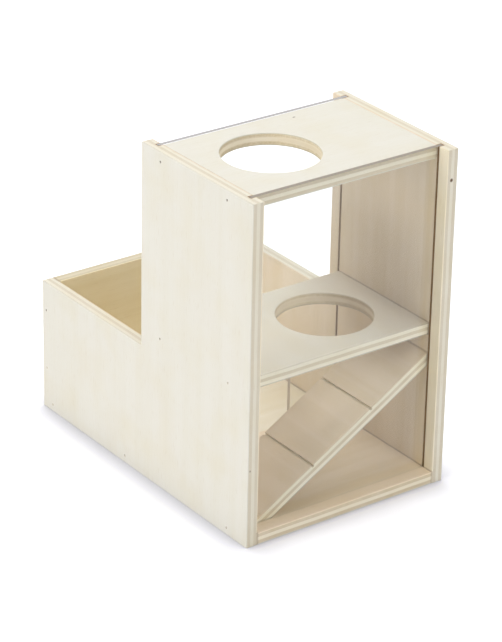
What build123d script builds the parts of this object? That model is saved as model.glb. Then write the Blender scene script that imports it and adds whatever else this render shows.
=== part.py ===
from build123d import *
import os
from math import cos, radians, sin, tan

# A two-storey hamster house of bare plywood: a tower with clear panes at its front and back, and an
# open-topped box behind it.
# Frame: origin under the middle of the house, on the surface it stands on. +X is to the right of
# someone facing the front, +Y runs to the back, +Z is up. Sizes are in millimetres.

# ---- driving dimensions ----

PLY = 9.0                # thickness of every board
ROOM_WIDTH = 150.0       # clear width between the side panels
TOWER_HEIGHT = 250.0
TOWER_DEPTH = 125.0
HOUSE_DEPTH = 250.0      # tower and open box together
BOX_HEIGHT = 100.0       # the low part of the side panels, and the rear wall
MIDDLE_FLOOR = 120.0     # walking surface of the upper storey
EASE = 0.4               # radius to which every cut edge is sanded

PANE = 3.0               # acrylic sheet
GROOVE_WIDTH = 3.5
GROOVE_DEPTH = 4.0
GROOVE_MARGIN = 9.0      # wood left between a groove and the end of the tower
PANE_SIDE_PLAY = 0.5     # between a pane's edge and the bottom of its groove
PANE_FOOT_GAP = 0.3      # between a pane's lower edge and the floor board

ENTRANCE_RADIUS = 34.0   # round holes in the top and middle boards
ENTRANCE_OFFSET = 24.0   # from the middle of the house: left above, right below

DOOR_WIDTH = 69.0        # doorway from the tower to the box, in the rear pane
DOOR_HEIGHT = 65.0
DOOR_CORNER = 12.0       # radius of its upper corners

RAMP_ANGLE = 31.0        # degrees
RAMP_WIDTH = 55.0
RAMP_TOP = 97.5          # height at which its upper face meets the right panel
CUT_SPACING = 56.5       # climbing grooves, counted down the slope from the right panel
CUT_COUNT = 2
CUT_WIDTH = 2.0
CUT_DEPTH = 2.0

BRAD_LENGTH = 20.0
FOOT_BRAD_LENGTH = 15.0
HEAD_RADIUS = 0.95
HEAD_HEIGHT = 0.8
SHANK_RADIUS = 0.6
POINT_HEIGHT = 1.6
POINT_RADIUS = 0.1
NAIL_SET = 0.3           # how far a head is driven below the wood

# Brads, each row given by its distances from the front of the tower. They are driven by hand, a little
# off the middle of each board.
TOP_BRADS = (28.0, 103.0)
TOP_BRAD_DROP = 7.0                 # below the board's upper face
MIDDLE_BRADS = (24.0, 102.5)
MIDDLE_BRAD_DROP = 6.2
FLOOR_BRADS = (23.0, 145.0, 238.0)
FLOOR_BRAD_DROP = 3.8
REAR_WALL_BRADS = (32.0, 78.0)      # heights above the ground
RAMP_BRADS = (13.0, 42.0)           # from the ramp's front edge
RAMP_END_BRAD_HEIGHT = 89.3         # above the ground, through the right panel
RAMP_FOOT_BRAD_INSET = 14.5         # from the toe of the ramp, up through the floor board

# ---- places worked out from them ----

INNER = ROOM_WIDTH / 2
OUTER = INNER + PLY
FRONT = -HOUSE_DEPTH / 2
REAR = HOUSE_DEPTH / 2
TOWER_REAR = FRONT + TOWER_DEPTH
FRONT_GROOVE = FRONT + GROOVE_MARGIN                        # its front side
REAR_GROOVE = TOWER_REAR - GROOVE_MARGIN - GROOVE_WIDTH     # its front side
ROOM_FRONT = FRONT_GROOVE + GROOVE_WIDTH                    # the boards lie between the grooves
ROOM_REAR = REAR_GROOVE
ROOM_MIDDLE = (ROOM_FRONT + ROOM_REAR) / 2

SLOPE = tan(radians(RAMP_ANGLE))
RAMP_TOE = INNER - (RAMP_TOP - PLY) / SLOPE                 # where the upper face meets the floor
RAMP_UNDERSIDE = RAMP_TOP - PLY / cos(radians(RAMP_ANGLE))  # lower face at the right panel
RAMP_HEEL = INNER - (RAMP_UNDERSIDE - PLY) / SLOPE          # where the lower face meets the floor


# ---- shapes ----

def span_box(x, y, z):
    """A sharp box between a lower and an upper limit on each axis."""
    centre = Pos(sum(x) / 2, sum(y) / 2, sum(z) / 2)
    return centre * Box(x[1] - x[0], y[1] - y[0], z[1] - z[0])


def board(x, y, z):
    """A rectangular board with its edges sanded."""
    solid = span_box(x, y, z)
    return fillet(solid.edges(), EASE)


def round_entrance(solid, x, top):
    """Saws a round entrance through a level board and sands both of its rims."""
    saw = Pos(x, ROOM_MIDDLE, top - PLY / 2) * Cylinder(ENTRANCE_RADIUS, 2 * PLY)
    holed = solid - saw
    rims = [e for e in holed.edges().filter_by(GeomType.CIRCLE) if abs(e.radius - ENTRANCE_RADIUS) < 0.01]
    return fillet(rims, EASE)


def side_panel():
    """The left panel: an L-shaped board with two pane grooves sawn from top to bottom of its inner face."""
    outline = Polyline(
        (FRONT, 0),
        (REAR, 0),
        (REAR, BOX_HEIGHT),
        (TOWER_REAR, BOX_HEIGHT),
        (TOWER_REAR, TOWER_HEIGHT),
        (FRONT, TOWER_HEIGHT),
        close=True,
    )
    face = Pos(-OUTER, 0, 0) * (Plane.YZ * make_face(outline))
    panel = extrude(face, PLY, dir=(1, 0, 0))
    panel = fillet(panel.edges(), EASE)
    for groove in (FRONT_GROOVE, REAR_GROOVE):
        panel -= span_box(
            (-INNER - GROOVE_DEPTH, -INNER + PLY),
            (groove, groove + GROOVE_WIDTH),
            (-PLY, TOWER_HEIGHT + PLY),
        )
    return panel


def ramp():
    """The ramp: cut level at its toe, upright at its top end, with saw cuts across it to climb by."""
    profile = Polyline(
        (RAMP_TOE, PLY),
        (RAMP_HEEL, PLY),
        (INNER, RAMP_UNDERSIDE),
        (INNER, RAMP_TOP),
        close=True,
    )
    face = Pos(0, ROOM_FRONT, 0) * (Plane.XZ * make_face(profile))
    solid = extrude(face, RAMP_WIDTH, dir=(0, 1, 0))
    long_edges = [e for e in solid.edges() if abs(e.center().Y - ROOM_FRONT - RAMP_WIDTH / 2) > 1
                  and e.length > ROOM_WIDTH / 2]
    solid = fillet(long_edges, EASE)
    for n in range(1, CUT_COUNT + 1):
        down = n * CUT_SPACING
        x = INNER - down * cos(radians(RAMP_ANGLE))
        z = RAMP_TOP - down * sin(radians(RAMP_ANGLE))
        middle = ROOM_FRONT + RAMP_WIDTH / 2
        saw = Box(CUT_WIDTH, 2 * RAMP_WIDTH, 2 * CUT_DEPTH)
        solid -= Pos(x, middle, z) * Rot(0, -RAMP_ANGLE, 0) * saw
    return solid


def pane(groove):
    """A clear sheet that stands in one pair of grooves and can be drawn up out of them."""
    half = INNER + GROOVE_DEPTH - PANE_SIDE_PLAY
    front = groove + (GROOVE_WIDTH - PANE) / 2
    return span_box((-half, half), (front, front + PANE), (PLY + PANE_FOOT_GAP, TOWER_HEIGHT))


def doorway():
    """What is cut out of the rear pane: upright sides, rounded upper corners, open at the floor."""
    straight = DOOR_HEIGHT - DOOR_CORNER
    saw_depth = 4 * PANE
    lower = Pos(0, REAR_GROOVE, PLY + straight / 2) * Box(DOOR_WIDTH, saw_depth, straight)
    narrow = DOOR_WIDTH - 2 * DOOR_CORNER
    upper = Pos(0, REAR_GROOVE, PLY + DOOR_HEIGHT / 2) * Box(narrow, saw_depth, DOOR_HEIGHT)
    shape = lower + upper
    for side in (-1, 1):
        corner = Pos(side * narrow / 2, REAR_GROOVE, PLY + straight) * Rot(90, 0, 0)
        shape += corner * Cylinder(DOOR_CORNER, saw_depth)
    return shape


def brad(length):
    """A brad with its head's top at the origin, pointing down -Z."""
    shank = length - HEAD_HEIGHT - POINT_HEIGHT
    nail = Pos(0, 0, -HEAD_HEIGHT / 2) * Cylinder(HEAD_RADIUS, HEAD_HEIGHT)
    nail += Pos(0, 0, -HEAD_HEIGHT - shank / 2) * Cylinder(SHANK_RADIUS, shank)
    nail += Pos(0, 0, -length + POINT_HEIGHT / 2) * Cone(POINT_RADIUS, SHANK_RADIUS, POINT_HEIGHT)
    return nail


def driven(points, outwards, length):
    """The brads driven in at these points of the surface, and the pockets that they make."""
    nails = []
    pockets = []
    for point in points:
        place = Plane(origin=point, z_dir=outwards).location * Pos(0, 0, -NAIL_SET)
        nail = brad(length)
        recess = Pos(0, 0, NAIL_SET) * Cylinder(HEAD_RADIUS, 2 * NAIL_SET)
        nails.append(place * nail)
        pockets.append(place * (nail + recess))
    return nails, pockets


# ---- the boards, before nailing ----

left_panel = side_panel()
room_x = (-INNER, INNER)
room_y = (ROOM_FRONT, ROOM_REAR)

boards = {
    "side_panel_left": left_panel,
    "side_panel_right": mirror(left_panel, Plane.YZ),
    "top_board": round_entrance(
        board(room_x, room_y, (TOWER_HEIGHT - PLY, TOWER_HEIGHT)), -ENTRANCE_OFFSET, TOWER_HEIGHT
    ),
    "middle_board": round_entrance(
        board(room_x, room_y, (MIDDLE_FLOOR - PLY, MIDDLE_FLOOR)), ENTRANCE_OFFSET, MIDDLE_FLOOR
    ),
    "floor_board": board(room_x, (FRONT, REAR), (0, PLY)),
    "rear_wall": board(room_x, (REAR - PLY, REAR), (PLY, BOX_HEIGHT)),
    "ramp_board": ramp(),
}

panes = {
    "front_pane": pane(FRONT_GROOVE),
    "rear_pane": pane(REAR_GROOVE) - doorway(),
}

# ---- brads: one group for each board and side ----

brad_groups = {}


def nail_down(group, points, outwards, length, through):
    """Drives one group of brads and cuts their pockets in the boards that they go through."""
    nails, pockets = driven(points, outwards, length)
    brad_groups[group] = nails
    for name in through:
        for pocket in pockets:
            boards[name] -= pocket


for side, name in ((-1, "left"), (1, "right")):
    panel = "side_panel_" + name
    outwards = (side, 0, 0)
    x = side * OUTER
    rows = {
        "top_board": [(x, FRONT + d, TOWER_HEIGHT - TOP_BRAD_DROP) for d in TOP_BRADS],
        "middle_board": [(x, FRONT + d, MIDDLE_FLOOR - MIDDLE_BRAD_DROP) for d in MIDDLE_BRADS],
        "floor_board": [(x, FRONT + d, PLY - FLOOR_BRAD_DROP) for d in FLOOR_BRADS],
        "rear_wall": [(x, REAR - PLY / 2, h) for h in REAR_WALL_BRADS],
    }
    for held, points in rows.items():
        nail_down("brads_" + held + "_" + name, points, outwards, BRAD_LENGTH, (panel, held))

ramp_end = [(OUTER, ROOM_FRONT + d, RAMP_END_BRAD_HEIGHT) for d in RAMP_BRADS]
nail_down("brads_ramp_end", ramp_end, (1, 0, 0), BRAD_LENGTH, ("side_panel_right", "ramp_board"))

ramp_foot = [(RAMP_TOE + RAMP_FOOT_BRAD_INSET, ROOM_FRONT + d, 0) for d in RAMP_BRADS]
nail_down("brads_ramp_foot", ramp_foot, (0, 0, -1), FOOT_BRAD_LENGTH, ("floor_board", "ramp_board"))

# ---- one file for each piece or group ----

os.makedirs("parts", exist_ok=True)
for name, solid in (boards | panes).items():
    export_step(solid, f"parts/{name}.step")
for name, nails in brad_groups.items():
    export_step(Compound(children=nails), f"parts/{name}.step")
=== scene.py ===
"""Dresses the plywood hamster house: bare five-ply boards, clear sliding panes and steel brads.

Every object is in metres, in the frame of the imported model: origin under the middle of the house, +X to
the right of someone facing the front, +Y to the back, +Z up.
"""

import math

import bpy
import numpy as np
from bpy.props import FloatProperty, FloatVectorProperty, PointerProperty
from mathutils import Matrix, Vector


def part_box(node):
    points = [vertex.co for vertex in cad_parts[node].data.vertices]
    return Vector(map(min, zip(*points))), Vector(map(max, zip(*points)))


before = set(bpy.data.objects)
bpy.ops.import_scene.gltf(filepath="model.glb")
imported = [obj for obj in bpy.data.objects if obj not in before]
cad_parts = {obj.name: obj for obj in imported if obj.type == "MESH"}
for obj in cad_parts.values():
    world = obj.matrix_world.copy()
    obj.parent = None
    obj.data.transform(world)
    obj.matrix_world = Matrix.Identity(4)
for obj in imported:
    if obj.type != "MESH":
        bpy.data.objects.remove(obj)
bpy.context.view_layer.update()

bl_info = {
    "name": "Plywood hamster house",
    "version": (1, 0, 0),
    "blender": (4, 5, 0),
    "location": "3D View > Sidebar > Hamster house",
    "description": "Finishes the boards, panes and brads of a two-storey hamster house and sets its stage",
    "category": "Object",
}

MM = 0.001
BEYOND = 1.0           # past the house on every side
BOARD = 9 * MM         # thickness of a board
RAMP_ANGLE = math.radians(31)
RAMP_TOP = 97.5 * MM   # where its upper face meets the right panel
HOLE_RADIUS = 34 * MM
HOLE_SIDE = 24 * MM    # from the middle of the house, to the left above and to the right below
# Painted shade: the middle board darkens towards the right panel, which shades that side of it
WALL_SHADE_SPAN = (11 * MM, 81 * MM)  # along X, where the middle board starts to darken and where that is whole
PANE_PLAY = 0.25 * MM  # between a pane and each wall of its groove
CONTACT = 0.5 * MM     # boards nearer than this touch
HEAD_WIDTH = 1.9 * MM  # across a brad's head
SKIN = 0.1 * MM        # depth of the layer that counts as part of a surface
TOP_EDGE = 0.5 * MM    # depth of the layer that counts as a pane's top edge
BLUR = 0.2 * MM        # over which a colour that fills a box fades at its sides
SEAM_WIDTH = 0.8 * MM  # over which a seam's line fades
LIT_POINT = Vector((0, 0, 120 * MM))  # what the soft boxes face
RING = (2.6 * MM, 1.2 * MM)  # radii at which the crushed ring round a brad starts and is whole

# Small dark voids and knots: the place, and the half sizes along the house's axes
KNOT_LEFT = ((-82.1 * MM, -125 * MM, 58 * MM), (0.35 * MM, 1 * MM, 0.7 * MM))
VOID_RIGHT = ((79 * MM, -125 * MM, 228 * MM), (1.2 * MM, 1 * MM, 1.3 * MM))
KNOT_TOP = ((25.5 * MM, -21.5 * MM, 250 * MM), (1.2 * MM, 0.5 * MM, 1 * MM))

# Boards whose joints show as a line of dust and glue, with painted shade of the gap. Those of the top board
# are sanded flush.
JOINTED = ("side_panel_left", "side_panel_right", "middle_board", "floor_board", "rear_wall", "ramp_board")

# Inside a board, in millimetres
HALF_BOARD = BOARD / MM / 2
GLUE_LINE = 0.1        # half the depth over which one ply gives way to the next
WAVER = 0.4            # how far the plies wander up and down
WAVER_LENGTH = 40      # from one rise to the next
FIGURE_LENGTH = 240    # of the bands of the growth figure
FIBRE_LENGTH = 45      # of a bundle of fibres
VESSEL_LENGTH = 9      # of a vessel line
VESSELS = 1.4          # vessel lines to a millimetre
PORES = 2.5            # pores to a millimetre of end grain, as coarse as they need to be to show
TEARS = 0.9            # torn spots to a millimetre of the hole's wall
PATCH = 34             # across a patch that is yellower or pinker
HOLE_CONTRAST = 0.4    # share of the end grain's contrast that the hole saw leaves
SCORCH = (1.0, 2.6)    # distances from the middle ply at which the scorching starts and is whole
LIP = (-4.2, -3.4)     # levels at which the clean lip at the upper face ends and the scorching is whole
UNEVEN = 0.06          # how far the roughness goes up and down with the fibres
END_ROUGHER = 0.12     # how much rougher end grain is
SEED_STEP = Vector((371, 913, 0))  # from one board's place in the pattern to the next one's


def linear(colour):
    """The linear values of an sRGB hex colour."""
    parts = [int(colour[i:i + 2], 16) / 255 for i in (1, 3, 5)]
    return tuple(p / 12.92 if p <= 0.04045 else ((p + 0.055) / 1.055) ** 2.4 for p in parts)


# ---- what a user may change ----


class PlywoodLooks(bpy.types.PropertyGroup):
    face: FloatVectorProperty(
        name="Face veneer", description="Colour of the sanded outer veneer",
        subtype="COLOR", min=0, max=1, default=linear("#ECE9DE"))
    middle: FloatVectorProperty(
        name="Middle board veneer", description="Colour of the palest veneer, which the middle board has",
        subtype="COLOR", min=0, max=1, default=linear("#FFFAEE"))
    # Painted shade over the middle board's side next to the right panel, which shades it
    right_wall_shade: FloatVectorProperty(
        name="Heart side", description="Tint of the middle board's veneer on its heartwood side",
        subtype="COLOR", min=0, max=1, default=linear("#DAD3CD"))
    back: FloatVectorProperty(
        name="Back veneer", description="Colour of the veneer that faces the rooms",
        subtype="COLOR", min=0, max=1, default=linear("#F8E9D5"))
    # Painted light: the strip of each panel's inner face in front of the front pane is paler than the back
    # veneer, since it is lit more
    rim: FloatVectorProperty(
        name="Panel rims", description="Colour of the panels' inner faces in front of the front grooves",
        subtype="COLOR", min=0, max=1, default=linear("#FFF6E0"))
    walked: FloatVectorProperty(
        name="Floor veneer", description="Colour of the veneer on the floor board and the ramp",
        subtype="COLOR", min=0, max=1, default=linear("#FEEDD6"))
    # Painted light: the floor board is paler behind the rear pane, where the open box lets in the light from
    # above
    lit_box_floor: FloatVectorProperty(
        name="Box floor veneer", description="Colour of the paler strip of veneer under the open box",
        subtype="COLOR", min=0, max=1, default=linear("#FFF8E6"))
    box: FloatVectorProperty(
        name="Rear wall veneer", description="Colour of the yellower veneer that faces the open box",
        subtype="COLOR", min=0, max=1, default=linear("#FBEECB"))
    core: FloatVectorProperty(
        name="Inner plies", description="Colour of the panels' three inner plies where they show on an edge",
        subtype="COLOR", min=0, max=1, default=linear("#F0EADA"))
    floor_core: FloatVectorProperty(
        name="Inner plies, floors", description="Colour of the paler inner plies of the floors and the ramp",
        subtype="COLOR", min=0, max=1, default=linear("#FFF6E2"))
    wall_core: FloatVectorProperty(
        name="Inner plies, rear wall", description="Colour of the yellower inner plies of the rear wall",
        subtype="COLOR", min=0, max=1, default=linear("#E4DAC1"))
    end_grain: FloatVectorProperty(
        name="End grain", description="Tint of a ply that is cut across its grain",
        subtype="COLOR", min=0, max=1, default=linear("#E9E3D9"))
    streak: FloatVectorProperty(
        name="Streaks", description="Tint of the broad bands of the growth figure",
        subtype="COLOR", min=0, max=1, default=linear("#F1EDDC"))
    faint: FloatProperty(
        name="Figure outside", description="How much of the figure shows on the selected veneers outside",
        subtype="FACTOR", min=0, max=1, default=0.13)
    plain: FloatProperty(
        name="Figure inside", description="How much of the figure shows on the veneers that face the rooms",
        subtype="FACTOR", min=0, max=1, default=0.42)
    outer_ply: FloatProperty(
        name="Outer ply", description="Thickness of each of the two face plies",
        subtype="DISTANCE", unit="LENGTH", min=0.0005, max=0.003, default=0.0008)
    core_ply: FloatProperty(
        name="Core ply", description="Thickness of the middle ply",
        subtype="DISTANCE", unit="LENGTH", min=0.0005, max=0.004, default=0.0025)
    figure_width: FloatProperty(
        name="Figure", description="Width of the broad bands of the growth figure",
        subtype="DISTANCE", unit="LENGTH", min=0.002, max=0.05, default=0.012)
    fibre_width: FloatProperty(
        name="Fibres", description="Width of a bundle of fibres, as coarse as it needs to be to show",
        subtype="DISTANCE", unit="LENGTH", min=0.0001, max=0.005, default=0.0014)
    # The groove walls' colour is partly the saw's scorching, partly painted shade deep in the narrow grooves
    sawn: FloatVectorProperty(
        name="Groove walls", description="Colour of the wood that a fine saw has scorched",
        subtype="COLOR", min=0, max=1, default=linear("#B9946A"))
    scorched: FloatVectorProperty(
        name="Hole walls", description="Tint of the wood that the hole saw has torn and scorched",
        subtype="COLOR", min=0, max=1, default=linear("#E4DFD0"))
    # The seams' colour is partly dust and glue, partly painted shade of the narrow gap between the boards
    seam: FloatVectorProperty(
        name="Seams", description="Colour of the sanding dust and glue in the line where two boards meet",
        subtype="COLOR", min=0, max=1, default=linear("#8F7A60"))
    roughness: FloatProperty(
        name="Roughness", description="Roughness of the sanded, unvarnished wood",
        subtype="FACTOR", min=0, max=1, default=0.64)


class AcrylicLooks(bpy.types.PropertyGroup):
    sheet: FloatVectorProperty(
        name="Sheet", description="Tint of the clear sheet",
        subtype="COLOR", min=0, max=1, default=linear("#FCFDFC"))
    passes: FloatVectorProperty(
        name="Light through a face", description="Share of the lamps' light that passes each face",
        subtype="COLOR", min=0, max=1, default=linear("#F8F9F8"))
    # Painted light: the front pane's top edge is tinted brown for the shaded wood seen through it, the rear
    # pane's grey for the backdrop
    front_top_edge_shade: FloatVectorProperty(
        name="Front pane's top edge", description="Tint of the edge that is sawn level with the top board",
        subtype="COLOR", min=0, max=1, default=linear("#A09484"))
    rear_top_edge_light: FloatVectorProperty(
        name="Rear pane's top edge", description="Tint of the edge that is sawn level with the top board",
        subtype="COLOR", min=0, max=1, default=linear("#BDB9B8"))
    side_edge: FloatVectorProperty(
        name="Upright edges", description="Tint of the sawn edges at the sides and the doorway",
        subtype="COLOR", min=0, max=1, default=linear("#DDD0C2"))
    edge_roughness: FloatProperty(
        name="Edge roughness", description="Roughness of the sawn edges",
        subtype="FACTOR", min=0, max=1, default=0.4)
    saw_mark: FloatProperty(
        name="Saw marks", description="Spacing of the saw's slanting marks along an edge",
        subtype="DISTANCE", unit="LENGTH", min=0.0002, max=0.004, default=0.0012)


class SteelLooks(bpy.types.PropertyGroup):
    bright: FloatVectorProperty(
        name="Bright", description="Colour of the drawn wire where it was struck",
        subtype="COLOR", min=0, max=1, default=linear("#A8A198"))
    tarnish: FloatVectorProperty(
        name="Tarnish", description="Colour of the dull film on it",
        subtype="COLOR", min=0, max=1, default=linear("#6E655A"))
    dust: FloatVectorProperty(
        name="Dust", description="Colour of the sanding dust that fills the pockets over the lower brads",
        subtype="COLOR", min=0, max=1, default=linear("#D8CDB8"))
    roughness: FloatProperty(
        name="Roughness", description="Roughness of the struck heads",
        subtype="FACTOR", min=0, max=1, default=0.45)


class StageLooks(bpy.types.PropertyGroup):
    floor: FloatVectorProperty(
        name="Floor", description="Colour of the floor",
        subtype="COLOR", min=0, max=1, default=linear("#EFEFF1"))
    floor_lift: FloatProperty(
        name="Floor lift", description="What is added to the floor where it is seen, so that it is white",
        min=0, max=2, default=0.46)
    far_lift: FloatProperty(
        name="Far floor lift", description="What is added far from the house, where the lamps hardly reach",
        min=0, max=2, default=1.1)
    far: FloatProperty(
        name="Far floor", description="Distance at which the far floor lift is whole",
        subtype="DISTANCE", unit="LENGTH", min=0.5, max=20, default=3)
    shade: FloatVectorProperty(
        name="Contact shade", description="Tint of the floor right beside what stands on it",
        subtype="COLOR", min=0, max=1, default=linear("#E6E6EC"))
    shade_reach: FloatProperty(
        name="Shade reach", description="Distance over which the contact shade fades",
        subtype="DISTANCE", unit="LENGTH", min=0.001, max=0.5, default=0.03)
    mirror_lift: FloatProperty(
        name="Mirrored floor lift", description="What is added where a pane or a brad mirrors the floor",
        min=0, max=2, default=0.12)
    floor_size: FloatProperty(
        name="Floor size", description="Length of the floor's sides",
        subtype="DISTANCE", unit="LENGTH", min=1, max=50, default=12)
    ambient: FloatProperty(
        name="Room light", description="Strength of the even light from all round",
        min=0, max=2, default=0.03)
    left_power: FloatProperty(
        name="Left light", description="Power of the soft box on the left",
        subtype="POWER", unit="POWER", min=0, max=500, default=31.5)
    top_power: FloatProperty(
        name="Top light", description="Power of the large soft box overhead",
        subtype="POWER", unit="POWER", min=0, max=500, default=29)
    front_power: FloatProperty(
        name="Front light", description="Power of the low soft box in front",
        subtype="POWER", unit="POWER", min=0, max=500, default=7.5)
    high_front_power: FloatProperty(
        name="High front light", description="Power of the soft box above the front",
        subtype="POWER", unit="POWER", min=0, max=500, default=10.5)
    right_power: FloatProperty(
        name="Right light", description="Power of the soft box on the right",
        subtype="POWER", unit="POWER", min=0, max=500, default=10)
    back_power: FloatProperty(
        name="Back light", description="Power of the soft box at the back",
        subtype="POWER", unit="POWER", min=0, max=500, default=10)
    high_back_power: FloatProperty(
        name="High back light", description="Power of the soft box above the back",
        subtype="POWER", unit="POWER", min=0, max=500, default=8.5)
    azimuth: FloatProperty(
        name="Azimuth", description="Heading of the camera's view, from the back direction towards the right",
        subtype="ANGLE", unit="ROTATION", default=math.radians(36.56))
    elevation: FloatProperty(
        name="Elevation", description="How far the camera looks down",
        subtype="ANGLE", unit="ROTATION", default=math.radians(25.97))
    roll: FloatProperty(
        name="Roll", description="Turn of the camera about its own view",
        subtype="ANGLE", unit="ROTATION", default=math.radians(1.16))
    position: FloatVectorProperty(
        name="Camera", description="Place of the camera",
        subtype="TRANSLATION", unit="LENGTH", default=(-1.11012, -1.50895, 1.00792))
    lens: FloatProperty(
        name="Lens", description="Focal length in millimetres, for a picture 36 mm tall",
        subtype="DISTANCE_CAMERA", min=10, max=1000, default=167.53)


# ---- materials ----


# ---- materials ----


def add(tree, kind, links=None, values=None, **settings):
    """Adds a shader node: settings are its own choices, values the numbers on its sockets, and links
    the outputs that feed its sockets. A node among the links stands for its first output."""
    node = tree.nodes.new("ShaderNode" + kind)
    for name, value in settings.items():
        setattr(node, name, value)
    for socket, value in (values or {}).items():
        node.inputs[socket].default_value = value
    for socket, source in (links or {}).items():
        tree.links.new(getattr(source, "outputs", [source])[0], node.inputs[socket])
    return node


def new_material(name):
    """A new material and its empty node tree."""
    material = bpy.data.materials.new(name)
    material.use_nodes = True
    material.node_tree.nodes.clear()
    return material, material.node_tree


def board_lie(origin, grain, through):
    """How a board lies: origin is a point of its face side, grain the way its face veneer's grain runs,
    and through points from the face side to the back. Returns the place and the turn that take the
    board's own axes (along the grain, across it, through the plies) to the house's."""
    grain, through = Vector(grain).normalized(), Vector(through).normalized()
    across = through.cross(grain)
    return Vector(origin), Matrix((grain, across, through)).transposed().to_euler("XYZ")


def box_distance(tree, where, low, high):
    """How far a point is outside the box between two corners, along the axis where that is most. It is
    negative inside the box and 0 on its surface."""
    centre = (Vector(low) + Vector(high)) / 2
    away = add(tree, "VectorMath", {0: where}, {1: centre}, operation="SUBTRACT")
    away = add(tree, "VectorMath", {0: away}, operation="ABSOLUTE")
    away = add(tree, "VectorMath", {0: away}, {1: Vector(high) - centre}, operation="SUBTRACT")
    x, y, z = add(tree, "SeparateXYZ", {0: away}).outputs
    outside = add(tree, "Math", {0: x, 1: y}, operation="MAXIMUM")
    return add(tree, "Math", {0: outside, 1: z}, operation="MAXIMUM")


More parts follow.
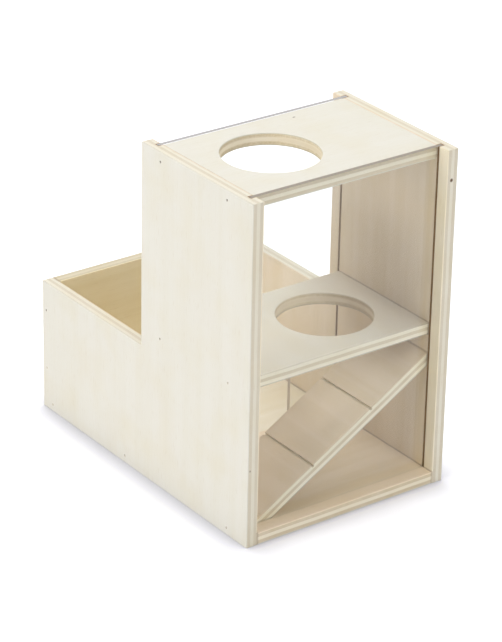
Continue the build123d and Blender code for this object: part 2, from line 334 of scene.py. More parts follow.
class Plywood:
    """Poplar plywood, five rotary-cut veneers glued crosswise, sanded and left bare. Dry poplar is almost
    white, with a faint broad figure and fine straight fibres, and has hardly any gloss. On a cut edge the
    plies whose grain runs along it stay bright, and those cut across their grain are darker.

    One of these makes one board's material. Its coordinates are millimetres in the board's own frame, and
    what its methods find is kept for the others: house and spot, the place in the house's frame and in the
    board's pattern, level and depth, the distance from the middle of the board with its sign and without,
    face_ply, cross_ply and back_ply, which are 1 in that ply, and end, the share of end grain. tone is
    the colour so far. seed parts one board's pattern from the next one's. hole is the middle of an
    upright round hole and, last, its radius."""

    def __init__(self, name, lie, seed, looks, hole=None):
        self.name = name
        self.material, self.tree = new_material(f"Poplar plywood, {name}")
        self.looks = looks
        self.lay(lie, seed)
        self.find_plies()
        self.find_end_grain()
        self.hole_wall = None
        if hole:
            self.find_hole_wall(hole)
        self.find_figure()
        self.find_fibres()

    def lay(self, lie, seed):
        """Finds the place in the house's frame and in the board's own, and the way the surface faces."""
        origin, turn = lie
        where = add(self.tree, "TexCoord")
        self.house = where.outputs["Object"]
        self.place = add(
            self.tree, "Mapping", {"Vector": self.house},
            {"Location": origin, "Rotation": turn, "Scale": (MM, MM, MM)}, vector_type="TEXTURE")
        self.spot = add(self.tree, "VectorMath", {0: self.place}, {1: seed * SEED_STEP}, operation="ADD")
        self.facing = add(self.tree, "VectorRotate", {"Vector": where.outputs["Normal"]}, {"Rotation": turn},
                          rotation_type="EULER_XYZ", invert=True)

    def find_plies(self):
        """Finds the ply from the depth, with veneers that were pressed to slightly uneven thickness."""
        tree, looks = self.tree, self.looks
        core = looks.core_ply / MM / 2
        outer = HALF_BOARD - looks.outer_ply / MM
        waver = add(tree, "TexNoise", {"Vector": self.spot}, {"Scale": 1 / WAVER_LENGTH, "Detail": 1})
        waver = add(tree, "MapRange", {"Value": waver}, {"To Min": -WAVER, "To Max": WAVER})
        through = add(tree, "SeparateXYZ", {0: self.place}).outputs["Z"]
        level = add(tree, "Math", {0: through}, {1: HALF_BOARD}, operation="SUBTRACT")
        self.level = add(tree, "Math", {0: level, 1: waver}, operation="ADD")
        self.depth = add(tree, "Math", {0: self.level}, operation="ABSOLUTE")
        past_core = add(tree, "MapRange", {"Value": self.depth},
                        {"From Min": core - GLUE_LINE, "From Max": core + GLUE_LINE},
                        interpolation_type="SMOOTHSTEP")
        outer_line = {"From Min": outer - GLUE_LINE, "From Max": outer + GLUE_LINE}
        self.face_ply = add(tree, "MapRange", {"Value": self.depth}, outer_line,
                            interpolation_type="SMOOTHSTEP")
        self.cross_ply = add(tree, "Math", {0: past_core, 1: self.face_ply}, operation="SUBTRACT")
        self.back_ply = add(tree, "MapRange", {"Value": self.level}, outer_line)

    def find_end_grain(self):
        """Finds the share of end grain, which is how far the surface faces along the grain of the ply that
        shows. So the dark and pale bands swap by themselves round a hole."""
        toward = add(self.tree, "VectorMath", {0: self.facing}, operation="ABSOLUTE")
        along, across, _ = add(self.tree, "SeparateXYZ", {0: toward}).outputs
        cut = add(self.tree, "Mix", {0: self.cross_ply, 2: along, 3: across})
        self.end = add(self.tree, "MapRange", {"Value": cut}, {"From Min": 0.45, "From Max": 0.9},
                       interpolation_type="SMOOTHSTEP")

    def find_hole_wall(self, hole):
        """Finds the wall of a round hole, where the end grain's contrast is weaker."""
        *middle, radius = hole
        away = add(self.tree, "VectorMath", {0: self.house}, {1: (*middle, 0)}, operation="SUBTRACT")
        away = add(self.tree, "VectorMath", {0: away}, {1: (1, 1, 0)}, operation="MULTIPLY")
        away = add(self.tree, "VectorMath", {0: away}, operation="LENGTH")
        self.hole_wall = add(self.tree, "Math", {0: away.outputs["Value"]}, {1: radius + SKIN},
                             operation="LESS_THAN")
        kept = add(self.tree, "MapRange", {"Value": self.hole_wall}, {"To Min": 1, "To Max": HOLE_CONTRAST})
        self.end = add(self.tree, "Math", {0: self.end, 1: kept}, operation="MULTIPLY")

    def find_figure(self):
        """Finds the broad figure along the grain of the ply that shows, and the patches of other colour."""
        x, y, z = add(self.tree, "SeparateXYZ", {0: self.spot}).outputs
        swapped = add(self.tree, "CombineXYZ", {0: y, 1: x, 2: z})
        grain = add(self.tree, "Mix", {0: self.cross_ply, 4: self.spot, 5: swapped}, data_type="VECTOR")
        self.grain = grain.outputs[1]
        bands = MM / self.looks.figure_width
        place = add(self.tree, "VectorMath", {0: self.grain}, {1: (1 / FIGURE_LENGTH, bands, bands)},
                    operation="MULTIPLY")
        figure = add(self.tree, "TexNoise", {"Vector": place}, {"Scale": 1, "Detail": 2, "Distortion": 0.5})
        self.figure = add(self.tree, "MapRange", {"Value": figure}, {"From Min": 0.38, "From Max": 0.66})
        patch = add(self.tree, "TexNoise", {"Vector": self.spot}, {"Scale": 1 / PATCH, "Detail": 2})
        yellow, pink, _ = add(self.tree, "SeparateColor", {0: patch.outputs["Color"]}).outputs
        self.yellow = add(self.tree, "MapRange", {"Value": yellow}, {"From Min": 0.45, "From Max": 0.72})
        self.pink = add(self.tree, "MapRange", {"Value": pink}, {"From Min": 0.45, "From Max": 0.72})

    def find_fibres(self):
        """Finds the fibres and vessel lines along the grain, and the pores of end grain."""
        bundles = MM / self.looks.fibre_width
        place = add(self.tree, "VectorMath", {0: self.grain}, {1: (1 / FIBRE_LENGTH, bundles, bundles)},
                    operation="MULTIPLY")
        self.fibre = add(self.tree, "TexNoise", {"Vector": place}, {"Scale": 1, "Detail": 3})
        place = add(self.tree, "VectorMath", {0: self.grain}, {1: (1 / VESSEL_LENGTH, VESSELS, VESSELS)},
                    operation="MULTIPLY")
        vessel = add(self.tree, "TexNoise", {"Vector": place}, {"Scale": 1, "Detail": 1})
        self.vessel = add(self.tree, "MapRange", {"Value": vessel}, {"From Min": 0.64, "From Max": 0.74})
        pores = add(self.tree, "TexNoise", {"Vector": self.spot}, {"Scale": PORES, "Detail": 2})
        pores = add(self.tree, "MapRange", {"Value": pores}, {"From Min": 0.5, "From Max": 0.7})
        self.pores = add(self.tree, "Math", {0: pores, 1: self.end}, operation="MULTIPLY")

    def colour_veneers(self, face, back, inner, strip=None):
        """Gives the outer veneers and the inner plies their colours. strip is a box, a low and a high
        corner, and the colour that the outer veneers have in it: painted light, paler where that part of a
        face is lit more."""
        veneers = add(self.tree, "Mix", {0: self.back_ply}, {6: (*face, 1), 7: (*back, 1)}, data_type="RGBA")
        self.tone = veneers.outputs[2]
        if strip:
            self.fill_box(*strip)
        plies = add(self.tree, "Mix", {0: self.face_ply, 7: self.tone}, {6: (*inner, 1)}, data_type="RGBA")
        self.tone = plies.outputs[2]

    def paint(self, colour, factor, share=1.0, blend="MULTIPLY"):
        """Tints the tone with a colour, or covers it where blend is MIX, as far as factor and share say."""
        amount = add(self.tree, "Math", {0: factor}, {1: share}, operation="MULTIPLY", use_clamp=True)
        tone = add(self.tree, "Mix", {0: amount, 6: self.tone}, {7: (*colour, 1)},
                   data_type="RGBA", blend_type=blend)
        self.tone = tone.outputs[2]

    def fill_box(self, low, high, colour):
        """Covers what lies in a box with a colour. low and high are its corners."""
        outside = box_distance(self.tree, self.house, low, high)
        within = add(self.tree, "MapRange", {"Value": outside}, {"From Min": BLUR, "From Max": 0})
        self.paint(colour, within, blend="MIX")

    def draw_grain(self, contrast=1.0, figured=False):
        """Tints the tone with the figure, the fibres and the end grain. contrast is the share of its tint
        that the end grain takes. The figure is fainter on the face veneer, unless the board is figured."""
        looks = self.looks
        faint = looks.plain if figured else looks.faint
        plain = add(self.tree, "Mix", {0: self.back_ply}, {2: faint, 3: looks.plain})
        figure = add(self.tree, "Math", {0: self.figure, 1: plain}, operation="MULTIPLY")
        self.paint(looks.streak, figure)
        self.paint(linear("#FBF7EA"), self.yellow, share=0.4)
        self.paint(linear("#FAF4F1"), self.pink, share=0.1)
        self.paint(linear("#F3EEE5"), self.fibre, share=0.25)
        self.paint(linear("#E8DFD0"), self.vessel, share=0.3)
        self.paint(looks.end_grain, self.end, share=contrast)
        self.paint(linear("#CFC6B6"), self.pores, share=0.2)

    def paint_right_wall_shade(self, start, whole):
        """Paints shade onto the outer veneers and the hole's wall, from one place along the house's X to
        another:
        the shade that the right panel casts over that side of the middle board."""
        along = add(self.tree, "SeparateXYZ", {0: self.house}).outputs["X"]
        darker = add(self.tree, "MapRange", {"Value": along}, {"From Min": start, "From Max": whole},
                     interpolation_type="SMOOTHSTEP")
        there = self.face_ply
        if self.hole_wall is not None:
            there = add(self.tree, "Math", {0: there, 1: self.hole_wall}, operation="MAXIMUM")
        darker = add(self.tree, "Math", {0: darker, 1: there}, operation="MULTIPLY")
        self.paint(self.looks.right_wall_shade, darker)

    def scorch_hole_wall(self):
        """Darkens the hole's wall in torn spots towards both faces, apart from the lip at the upper one."""
        torn = add(self.tree, "TexNoise", {"Vector": self.spot}, {"Scale": TEARS, "Detail": 2})
        torn = add(self.tree, "MapRange", {"Value": torn}, {"From Min": 0.35, "From Max": 0.6, "To Min": 0.4})
        deep = add(self.tree, "MapRange", {"Value": self.depth},
                   {"From Min": SCORCH[0], "From Max": SCORCH[1]}, interpolation_type="SMOOTHSTEP")
        below = add(self.tree, "MapRange", {"Value": self.level}, {"From Min": LIP[0], "From Max": LIP[1]})
        for factor in (deep, below, self.hole_wall):
            torn = add(self.tree, "Math", {0: torn, 1: factor}, operation="MULTIPLY")
        self.paint(self.looks.scorched, torn)

    def ring_brads(self, heads):
        """Gives each driven head a pale ring of crushed fibres. heads are the middles of the heads."""
        nearest = None
        for head in heads:
            gap = add(self.tree, "VectorMath", {0: self.house}, {1: head}, operation="DISTANCE")
            gap = gap.outputs["Value"]
            if nearest is not None:
                gap = add(self.tree, "Math", {0: nearest, 1: gap}, operation="MINIMUM")
            nearest = gap
        ring = add(self.tree, "MapRange", {"Value": nearest}, {"From Min": RING[0], "From Max": RING[1]},
                   interpolation_type="SMOOTHSTEP")
        self.paint(linear("#F4EFE4"), ring, share=0.35, blend="MIX")

    def fleck(self, centre, size):
        """Darkens a small void or pin knot, given by its place and its half sizes."""
        away = add(self.tree, "VectorMath", {0: self.house}, {1: centre}, operation="SUBTRACT")
        away = add(self.tree, "VectorMath", {0: away}, {1: size}, operation="DIVIDE")
        away = add(self.tree, "VectorMath", {0: away}, operation="LENGTH")
        dark = add(self.tree, "MapRange", {"Value": away.outputs["Value"]},
                   {"From Min": 1.2, "From Max": 0.7})
        self.paint(linear("#6A5038"), dark, blend="MIX")

    def line_shaded_seams(self):
        """Draws a line where other boards meet this one: dust and glue, and painted shade of the gap between
        them.
        """
        for low, high in contact_boxes(self.name):
            outside = box_distance(self.tree, self.house, low, high)
            outside = add(self.tree, "Math", {0: outside}, operation="ABSOLUTE")
            dusty = add(self.tree, "MapRange", {"Value": outside}, {"From Min": SEAM_WIDTH, "From Max": 0})
            self.paint(self.looks.seam, dusty, share=0.4, blend="MIX")

    def finish(self):
        """Draws the seams, adds the relief of the fibres and of the open pores in the end grain, which is
        also rougher, and gives the board its material."""
        if self.name in JOINTED:
            self.line_shaded_seams()
        tree, roughness = self.tree, self.looks.roughness
        relief = add(tree, "Math", {0: self.fibre, 1: self.vessel}, operation="SUBTRACT")
        relief = add(tree, "Math", {0: relief, 1: self.pores}, operation="SUBTRACT")
        bump = add(tree, "Bump", {"Height": relief}, {"Strength": 0.1, "Distance": 0.05 * MM})
        rough = add(tree, "MapRange", {"Value": self.fibre},
                    {"To Min": roughness - UNEVEN, "To Max": roughness + UNEVEN})
        rough = add(tree, "Math", {0: self.end, 2: rough}, {1: END_ROUGHER}, operation="MULTIPLY_ADD")
        wood = add(tree, "BsdfPrincipled", {"Base Color": self.tone, "Roughness": rough, "Normal": bump},
                   {"IOR": 1.5})
        add(tree, "OutputMaterial", {"Surface": wood})
        dress(self.name, self.material)


def clear_acrylic(name, looks, top_edge_painted_light, low, high):
    """Cast acrylic sheet, 3 mm: clear and glossy as cast on its faces, and satin with faint saw marks on
    its cut edges, which look grey because they scatter the light that the sheet carries to them. The top
    edge's
    tint is painted light: shaded wood seen through it on the front pane, the backdrop on the rear one. The
    sheet lets the light of lamps and of the walls straight through. low and high are the heights of its
    foot and its top edge. The foot stands on the floor board and shows its wood, so no line shows there."""
    material, tree = new_material(name)
    where = add(tree, "TexCoord")
    house = where.outputs["Object"]
    facing = add(tree, "VectorMath", {0: where.outputs["Normal"]}, operation="ABSOLUTE")
    facing = add(tree, "SeparateXYZ", {0: facing}).outputs["Y"]
    edge = add(tree, "MapRange", {"Value": facing}, {"From Min": 0.8, "From Max": 0.6})
    height = add(tree, "SeparateXYZ", {0: house}).outputs["Z"]
    top = add(tree, "Math", {0: height}, {1: high - TOP_EDGE}, operation="GREATER_THAN")
    foot = add(tree, "Math", {0: height}, {1: low + SKIN}, operation="LESS_THAN")
    edge = add(tree, "Math", {0: edge, 1: foot}, operation="SUBTRACT", use_clamp=True)
    rim = sawn_acrylic(tree, looks, house, top, top_edge_painted_light)
    sheet = cast_acrylic(tree, looks, house)

    path = add(tree, "LightPath")
    through = add(tree, "Math", {0: path.outputs["Is Shadow Ray"], 1: path.outputs["Is Diffuse Ray"]},
                  operation="MAXIMUM")
    through = add(tree, "Math", {0: through, 1: foot}, operation="MAXIMUM")
    open_way = add(tree, "BsdfTransparent", values={0: (*looks.passes, 1)})
    mixed = add(tree, "MixShader", {0: through, 1: sheet, 2: open_way})
    whole = add(tree, "MixShader", {0: edge, 1: mixed, 2: rim})
    add(tree, "OutputMaterial", {"Surface": whole})
    return material


def sawn_acrylic(tree, looks, house, top, top_edge_painted_light):
    """The sawn edges: satin, with diagonal saw marks. top is 1 on the top edge, whose tint is painted light:
    shaded wood seen through it on the front pane, the backdrop on the rear one.
    """
    tint = add(tree, "Mix", {0: top}, {6: (*looks.side_edge, 1), 7: (*top_edge_painted_light, 1)}, data_type="RGBA")
    # a diagonal wave at scale 1 repeats every 0.628 units along each axis
    marks = add(tree, "TexWave", {"Vector": house},
                {"Scale": 0.628 / looks.saw_mark, "Distortion": 1.5, "Detail": 1}, bands_direction="DIAGONAL")
    marks = marks.outputs["Fac"]
    bump = add(tree, "Bump", {"Height": marks}, {"Strength": 0.3, "Distance": 0.02 * MM})
    shade = add(tree, "Mix", {0: marks, 6: tint.outputs[2]}, {7: (*linear("#E6E6E6"), 1)},
                data_type="RGBA", blend_type="MULTIPLY")
    return add(tree, "BsdfPrincipled", {"Base Color": shade.outputs[2], "Normal": bump},
               {"IOR": 1.49, "Roughness": looks.edge_roughness})


def cast_acrylic(tree, looks, house):
    """The clear faces, with upright hairline scratches from sliding in the grooves."""
    slide = add(tree, "Mapping", {"Vector": house}, {"Scale": (2500, 2500, 20)})
    hairlines = add(tree, "TexNoise", {"Vector": slide}, {"Scale": 1, "Detail": 2})
    hairlines = add(tree, "MapRange", {"Value": hairlines},
                    {"From Min": 0.62, "From Max": 0.75, "To Max": 0.03})
    return add(tree, "BsdfPrincipled", {"Roughness": hairlines},
               {"Base Color": (*looks.sheet, 1), "IOR": 1.49, "Transmission Weight": 1.0})


def drawn_steel(name, looks, dust):
    """Low-carbon steel wire, drawn, cut and headed into brads, then struck with a hammer and a punch: grey,
    dulled by a thin dark film, with small bright scuffs on the heads. The more dust, from 0 to 1, the more
    of a head is hidden by sanding dust."""
    material, tree = new_material(name)
    house = add(tree, "TexCoord").outputs["Object"]
    film = add(tree, "TexNoise", {"Vector": house}, {"Scale": 2200, "Detail": 3})
    film = add(tree, "MapRange", {"Value": film}, {"From Min": 0.4, "From Max": 0.66})
    colour = add(tree, "Mix", {0: film}, {6: (*looks.tarnish, 1), 7: (*looks.bright, 1)}, data_type="RGBA")
    rough = add(tree, "MapRange", {"Value": film},
                {"To Min": looks.roughness + 0.12, "To Max": looks.roughness - 0.1})
    bump = add(tree, "Bump", {"Height": film}, {"Strength": 0.4, "Distance": 0.03 * MM})
    grains = add(tree, "TexNoise", {"Vector": house}, {"Scale": 900, "Detail": 2})
    dusty = 0.7 - 0.4 * dust
    grains = add(tree, "MapRange", {"Value": grains}, {"From Min": dusty, "From Max": dusty + 0.1})
    colour = add(tree, "Mix", {0: grains, 6: colour.outputs[2]}, {7: (*looks.dust, 1)}, data_type="RGBA")
    bare = add(tree, "Math", {1: grains}, {0: 1}, operation="SUBTRACT")
    steel = add(tree, "BsdfPrincipled",
                {"Base Color": colour.outputs[2], "Roughness": rough, "Normal": bump, "Metallic": bare})
    add(tree, "OutputMaterial", {"Surface": steel})
    return material


def floor_paint(looks):
    """Matt white studio floor, with painted contact shade from ambient occlusion that makes it a little
    darker right beside what stands on it. The light that is added makes it white to the camera, through the
    panes and, less so, where a pane or a brad mirrors it, and keeps the house's shadow."""
    material, tree = new_material("Studio floor, matt white")
    near = add(tree, "AmbientOcclusion", values={"Distance": looks.shade_reach})
    clear = add(tree, "MapRange", {"Value": near.outputs["AO"]}, {"From Min": 0.45, "From Max": 1.0})
    tint = add(tree, "Mix", {0: clear}, {6: (*looks.shade, 1), 7: (1, 1, 1, 1)}, data_type="RGBA")
    tint = add(tree, "Mix", {7: tint.outputs[2]}, {0: 1.0, 6: (*looks.floor, 1)}, data_type="RGBA",
               blend_type="MULTIPLY")
    paint = add(tree, "BsdfDiffuse", {0: tint.outputs[2]})

    path = add(tree, "LightPath")
    seen = add(tree, "Math", {0: path.outputs["Is Camera Ray"], 1: path.outputs["Is Transmission Ray"]},
               operation="MAXIMUM")
    place = add(tree, "TexCoord").outputs["Object"]
    away = add(tree, "VectorMath", {0: place}, operation="LENGTH")
    mirror_lift, floor_lift = [
        add(tree, "MapRange", {"Value": away.outputs["Value"]},
            {"From Min": looks.far / 3, "From Max": looks.far, "To Min": near_lift, "To Max": looks.far_lift})
        for near_lift in (looks.mirror_lift, looks.floor_lift)]
    mirrored = add(tree, "Math", {0: path.outputs["Is Glossy Ray"], 1: mirror_lift}, operation="MULTIPLY")
    lift = add(tree, "Mix", {0: seen, 2: mirrored, 3: floor_lift})
    lift = add(tree, "Math", {0: lift, 1: clear}, operation="MULTIPLY")
    glow = add(tree, "Emission", {1: lift}, {0: (*linear("#F7F7FF"), 1)})
    both = add(tree, "AddShader", {0: paint, 1: glow})
    add(tree, "OutputMaterial", {"Surface": both})
    return material


# ---- what the materials need from the frame ----


def cut_ends(name):
    """A board's own box, or the boxes of the ramp's level toe and of its upright top end."""
    low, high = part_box(name)
    if name != "ramp_board":
        return [(low, high)]
    heel = low[0] + BOARD / math.sin(RAMP_ANGLE)
    underside = high[2] - BOARD / math.cos(RAMP_ANGLE)
    return [(low, (heel, high[1], low[2])), ((high[0], low[1], underside), high)]


def contact_boxes(name):
    """The places where other boards touch this one, as boxes with their low and high corners. Each is
    what the two boards' boxes share, made thicker where it is flat."""
    found = []
    pairs = [(theirs, own) for other in JOINTED if other != name
             for theirs in cut_ends(other) for own in cut_ends(name)]
    for (their_low, their_high), (own_low, own_high) in pairs:
        low = [max(a, b) for a, b in zip(their_low, own_low)]
        high = [min(a, b) for a, b in zip(their_high, own_high)]
        if all(b - a > -CONTACT for a, b in zip(low, high)):
            found.append(([a - CONTACT * (b - a < CONTACT) for a, b in zip(low, high)],
                          [b + CONTACT * (b - a < CONTACT) for a, b in zip(low, high)]))
    return found


def hole_in(name, side):
    """The middle of a board's hole, which lies halfway back in it, and its radius."""
    low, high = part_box(name)
    return side, (low[1] + high[1]) / 2, HOLE_RADIUS


def brad_heads(name):
    """The middle of each head in a row of brads that are driven in sideways. The heads' outer faces are
    the outermost points along X, and the row is parted where two of them lie apart."""
    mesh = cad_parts[name].data
    points = np.empty(3 * len(mesh.vertices), np.float32)
    mesh.vertices.foreach_get("co", points)
    points = points.reshape(-1, 3)
    out = np.abs(points[:, 0])
    heads = points[out > out.max() - SKIN]
    row = np.ptp(heads, axis=0).argmax()
    heads = heads[heads[:, row].argsort()]
    gaps = np.flatnonzero(np.diff(heads[:, row]) > HEAD_WIDTH) + 1
    return [((head.min(0) + head.max(0)) / 2).tolist() for head in np.split(heads, gaps)]


# ---- the pieces ----


def dress(node, material):
    """Gives a CAD node its material."""
    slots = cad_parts[node].material_slots
    if not slots:
        raise RuntimeError(f"{node} has no material slot")
    for slot in slots:
        slot.material = material


def finish_side_panel(hand, side, seed, rows, fleck, looks):
    """Finishes one side panel. side is -1 on the left and 1 on the right, and rows are the brads that
    are driven into its outer face."""
    name = f"side_panel_{hand}"
    outer_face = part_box(name)[0 if side < 0 else 1][0]
    inner_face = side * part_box("floor_board")[1][0]
    lie = board_lie((outer_face, 0, 0), (0, 0, 1), (-side, 0, 0))
    board = Plywood(name, lie, seed, looks)
    # painted light: the inner face in front of the front pane is paler, since it is lit more than the face
    # behind the pane
    rim_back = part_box("front_pane")[0][1] - 2 * PANE_PLAY
    rim = (inner_face - MM, -BEYOND, -BEYOND), (inner_face + MM, rim_back, BEYOND), looks.rim
    board.colour_veneers(looks.face, looks.back, looks.core, rim)
    board.draw_grain(contrast=0.55)
    board.ring_brads([head for row in rows for head in brad_heads(row)])
    board.fleck(*fleck)
    for pane in ("front_pane", "rear_pane"):
        low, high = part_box(pane)
        # from just behind the inner face to just past the groove's floor
        walls = sorted((inner_face + side * PANE_PLAY, side * (high[0] + 3 * PANE_PLAY)))
        groove = (walls[0], low[1] - 2 * PANE_PLAY, -MM), (walls[1], high[1] + 2 * PANE_PLAY, BEYOND)
        # the grooves' colour: the saw's scorching and painted shade of the narrow groove
        board.fill_box(*groove, looks.sawn)
    board.finish()


def start_floor(name, grain, seed, looks, hole=None):
    """Starts the material of a level board, whose face side is its upper one."""
    lie = board_lie((0, 0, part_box(name)[1][2]), grain, (0, 0, -1))
    return Plywood(name, lie, seed, looks, hole)


def finish_top_board(looks):
    """Finishes the top board, whose face grain runs from side to side."""
    board = start_floor("top_board", (1, 0, 0), 3, looks, hole_in("top_board", -HOLE_SIDE))
    board.colour_veneers(looks.face, looks.face, looks.floor_core)
    board.draw_grain()
    board.scorch_hole_wall()
    board.fleck(*KNOT_TOP)
    board.finish()


def finish_middle_board(looks):
    """Finishes the middle board, whose face grain runs from front to back."""
    board = start_floor("middle_board", (0, 1, 0), 4, looks, hole_in("middle_board", HOLE_SIDE))
    board.colour_veneers(looks.middle, looks.face, looks.floor_core)
    board.draw_grain()
    # painted shade, darker towards the right panel
    board.paint_right_wall_shade(*WALL_SHADE_SPAN)
    board.scorch_hole_wall()
    board.finish()


def finish_floor_board(looks):
    """Finishes the floor board, painted paler behind the rear pane as painted light, where the open box lets
    in the light from above.
    """
    board = start_floor("floor_board", (1, 0, 0), 5, looks)
    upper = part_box("floor_board")[1][2]
    strip_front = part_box("rear_pane")[1][1]
    strip = (-BEYOND, strip_front, upper - MM), (BEYOND, BEYOND, upper + MM), looks.lit_box_floor
    board.colour_veneers(looks.walked, looks.face, looks.floor_core, strip)
    board.draw_grain(figured=True)
    board.finish()


def finish_rear_wall(looks):
    """Finishes the rear wall, whose face side is its outer one and whose grain runs level."""
    lie = board_lie((0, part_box("rear_wall")[1][1], 0), (1, 0, 0), (0, -1, 0))
    board = Plywood("rear_wall", lie, 6, looks)
    board.colour_veneers(looks.face, looks.box, looks.wall_core)
    board.draw_grain(contrast=0.4)
    board.finish()


def finish_ramp(looks):
    """Finishes the ramp, whose face side is its upper one and whose face grain runs across it."""
    top = (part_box("ramp_board")[1][0], 0, RAMP_TOP)
    down = (math.sin(RAMP_ANGLE), 0, -math.cos(RAMP_ANGLE))
    board = Plywood("ramp_board", board_lie(top, (0, 1, 0), down), 7, looks)
    board.colour_veneers(looks.walked, looks.face, looks.floor_core)
    board.draw_grain(figured=True)
    board.finish()


# ---- the stage ----


def lay_floor(looks):
    """Lays the floor, a level square under the house."""
    reach = looks.floor_size / 2
    corners = [(-reach, -reach, 0), (reach, -reach, 0), (reach, reach, 0), (-reach, reach, 0)]
    mesh = bpy.data.meshes.new("floor")
    mesh.from_pydata(corners, [], [(0, 1, 2, 3)])
    mesh.materials.append(floor_paint(looks))
    floor = bpy.data.objects.new("floor", mesh)
    bpy.context.scene.collection.objects.link(floor)


def light_world(looks):
    """Adds even light from all round, and a white background wherever it is seen or mirrored."""
    world = bpy.data.worlds.new("Studio")
    world.use_nodes = True
    bpy.context.scene.world = world
    tree = world.node_tree
    tree.nodes.clear()
    path = add(tree, "LightPath")
    seen = add(tree, "Math", {0: path.outputs["Is Camera Ray"], 1: path.outputs["Is Glossy Ray"]},
               operation="MAXIMUM")
    seen = add(tree, "Math", {0: seen, 1: path.outputs["Is Transmission Ray"]}, operation="MAXIMUM")
    strength = add(tree, "Mix", {0: seen}, {2: looks.ambient, 3: 1.0})
    sky = add(tree, "Background", {1: strength}, {0: (1, 1, 1, 1)})
    add(tree, "OutputWorld", {0: sky})


def hang_softboxes(looks):
    """Hangs round soft boxes, each with its power, width and place, all turned to the house's middle."""
    for name, power, width, spot in (
            ("left_softbox", looks.left_power, 1.6, (-2.2, 0, 0.9)),
            ("top_softbox", looks.top_power, 2.4, (0.3, 0.4, 2.4)),
            ("front_softbox", looks.front_power, 1.0, (0.2, -1.6, 0.2)),
            ("high_front_softbox", looks.high_front_power, 1.4, (0, -1.5, 1.7)),
            ("right_softbox", looks.right_power, 1.6, (2.2, 0, 0.9)),
            ("back_softbox", looks.back_power, 1.6, (0, 2.2, 0.9)),
            ("high_back_softbox", looks.high_back_power, 1.4, (0, 1.5, 1.9))):
        lamp = bpy.data.lights.new(name, "AREA")
        lamp.energy, lamp.shape, lamp.size = power, "DISK", width
        box = bpy.data.objects.new(name, lamp)
        box.location = spot
        box.rotation_euler = (LIT_POINT - box.location).to_track_quat("-Z", "Y").to_euler()
        bpy.context.scene.collection.objects.link(box)


def place_camera(looks):
    """Places the camera, turned to its heading first, then down, and last about its own view."""
    scene = bpy.context.scene
    lens = bpy.data.cameras.new("camera")
    lens.lens, lens.sensor_width, lens.clip_start, lens.clip_end = looks.lens, 36, 0.05, 50
    camera = bpy.data.objects.new("camera", lens)
    aim = (Matrix.Rotation(-looks.azimuth, 4, "Z") @ Matrix.Rotation(math.pi / 2 - looks.elevation, 4, "X")
           @ Matrix.Rotation(looks.roll, 4, "Z"))
    camera.matrix_world = Matrix.Translation(looks.position) @ aim
    scene.collection.objects.link(camera)
    scene.camera = camera


# ---- operators ----


class HAMSTER_OT_side_panels(bpy.types.Operator):
    """Finishes the two L-shaped side panels, whose face grain runs upright"""
    bl_idname = "hamster.side_panels"
    bl_label = "Side panels"

    def execute(self, context):
        looks = context.scene.hamster_plywood
        rows = [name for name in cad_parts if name.startswith("brads_")]
        left = [row for row in rows if row.endswith("_left")]
        right = [row for row in rows if row.endswith("_right")]
        finish_side_panel("left", -1, 1, left, KNOT_LEFT, looks)
        finish_side_panel("right", 1, 2, [*right, "brads_ramp_end"], VOID_RIGHT, looks)
        return {"FINISHED"}


class HAMSTER_OT_floors(bpy.types.Operator):
    """Finishes the top, middle and floor boards"""
    bl_idname = "hamster.floors"
    bl_label = "Floors"

    def execute(self, context):
        looks = context.scene.hamster_plywood
        finish_top_board(looks)
        finish_middle_board(looks)
        finish_floor_board(looks)
        return {"FINISHED"}


class HAMSTER_OT_rear_wall(bpy.types.Operator):
    """Finishes the rear wall of the open box"""
    bl_idname = "hamster.rear_wall"
    bl_label = "Rear wall"

    def execute(self, context):
        finish_rear_wall(context.scene.hamster_plywood)
        return {"FINISHED"}


class HAMSTER_OT_ramp(bpy.types.Operator):
    """Finishes the ramp, whose face grain runs across it"""
    bl_idname = "hamster.ramp"
    bl_label = "Ramp"

    def execute(self, context):
        finish_ramp(context.scene.hamster_plywood)
        return {"FINISHED"}


class HAMSTER_OT_panes(bpy.types.Operator):
    """Finishes the two clear panes that slide in the side panels' grooves"""
    bl_idname = "hamster.panes"
    bl_label = "Panes"

    def execute(self, context):
        looks = context.scene.hamster_acrylic
        # the top edges' tints are painted light: shaded wood seen through the front one, the backdrop through
        # the rear one
        for name, top_edge_painted_light in (("front_pane", looks.front_top_edge_shade), ("rear_pane", looks.rear_top_edge_light)):
            low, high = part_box(name)
            dress(name, clear_acrylic(f"Cast acrylic, {name}", looks, top_edge_painted_light, low[2], high[2]))
        return {"FINISHED"}


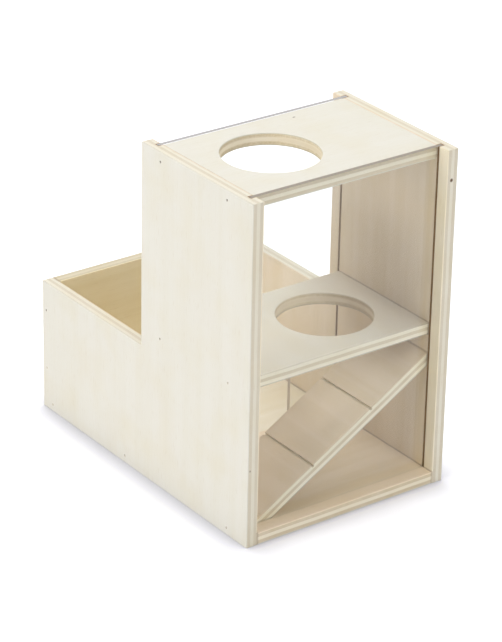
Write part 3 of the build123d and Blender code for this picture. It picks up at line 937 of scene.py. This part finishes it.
class HAMSTER_OT_brads(bpy.types.Operator):
    """Finishes the steel brads, of which those of the top board are the cleanest"""
    bl_idname = "hamster.brads"
    bl_label = "Brads"

    def execute(self, context):
        looks = context.scene.hamster_steel
        bare = drawn_steel("Drawn steel, tarnished", looks, 0.3)
        dusty = drawn_steel("Drawn steel, under sanding dust", looks, 0.8)
        names = [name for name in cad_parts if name.startswith("brads_")]
        if not names:
            raise RuntimeError("the frame has no brads")
        for name in names:
            dress(name, bare if "top" in name else dusty)
        return {"FINISHED"}


class HAMSTER_OT_stage(bpy.types.Operator):
    """Lays the pale floor, sets the soft light and places the camera"""
    bl_idname = "hamster.stage"
    bl_label = "Stage"

    def execute(self, context):
        looks = context.scene.hamster_stage
        context.scene.view_settings.view_transform = "Standard"
        lay_floor(looks)
        light_world(looks)
        hang_softboxes(looks)
        place_camera(looks)
        return {"FINISHED"}


class HAMSTER_PT_house(bpy.types.Panel):
    """Lists the looks that may be changed and the steps that finish the house"""
    bl_idname = "HAMSTER_PT_house"
    bl_label = "Hamster house"
    bl_space_type = "VIEW_3D"
    bl_region_type = "UI"
    bl_category = "Hamster house"

    def draw(self, context):
        for group in ("hamster_plywood", "hamster_acrylic", "hamster_steel", "hamster_stage"):
            looks = getattr(context.scene, group)
            box = self.layout.box()
            for name in looks.__annotations__:
                box.prop(looks, name)
        for step in STEPS:
            self.layout.operator(step.bl_idname)


LOOKS = {
    "hamster_plywood": PlywoodLooks,
    "hamster_acrylic": AcrylicLooks,
    "hamster_steel": SteelLooks,
    "hamster_stage": StageLooks,
}
STEPS = (
    HAMSTER_OT_side_panels,
    HAMSTER_OT_floors,
    HAMSTER_OT_rear_wall,
    HAMSTER_OT_ramp,
    HAMSTER_OT_panes,
    HAMSTER_OT_brads,
    HAMSTER_OT_stage,
)


def register():
    for name, looks in LOOKS.items():
        bpy.utils.register_class(looks)
        setattr(bpy.types.Scene, name, PointerProperty(type=looks))
    for step in (*STEPS, HAMSTER_PT_house):
        bpy.utils.register_class(step)


def unregister():
    for step in reversed((*STEPS, HAMSTER_PT_house)):
        bpy.utils.unregister_class(step)
    for name, looks in LOOKS.items():
        delattr(bpy.types.Scene, name)
        bpy.utils.unregister_class(looks)


def main():
    register()
    bpy.ops.hamster.side_panels()
    bpy.ops.hamster.floors()
    bpy.ops.hamster.rear_wall()
    bpy.ops.hamster.ramp()
    bpy.ops.hamster.panes()
    bpy.ops.hamster.brads()
    bpy.ops.hamster.stage()


if __name__ == "__main__":
    main()
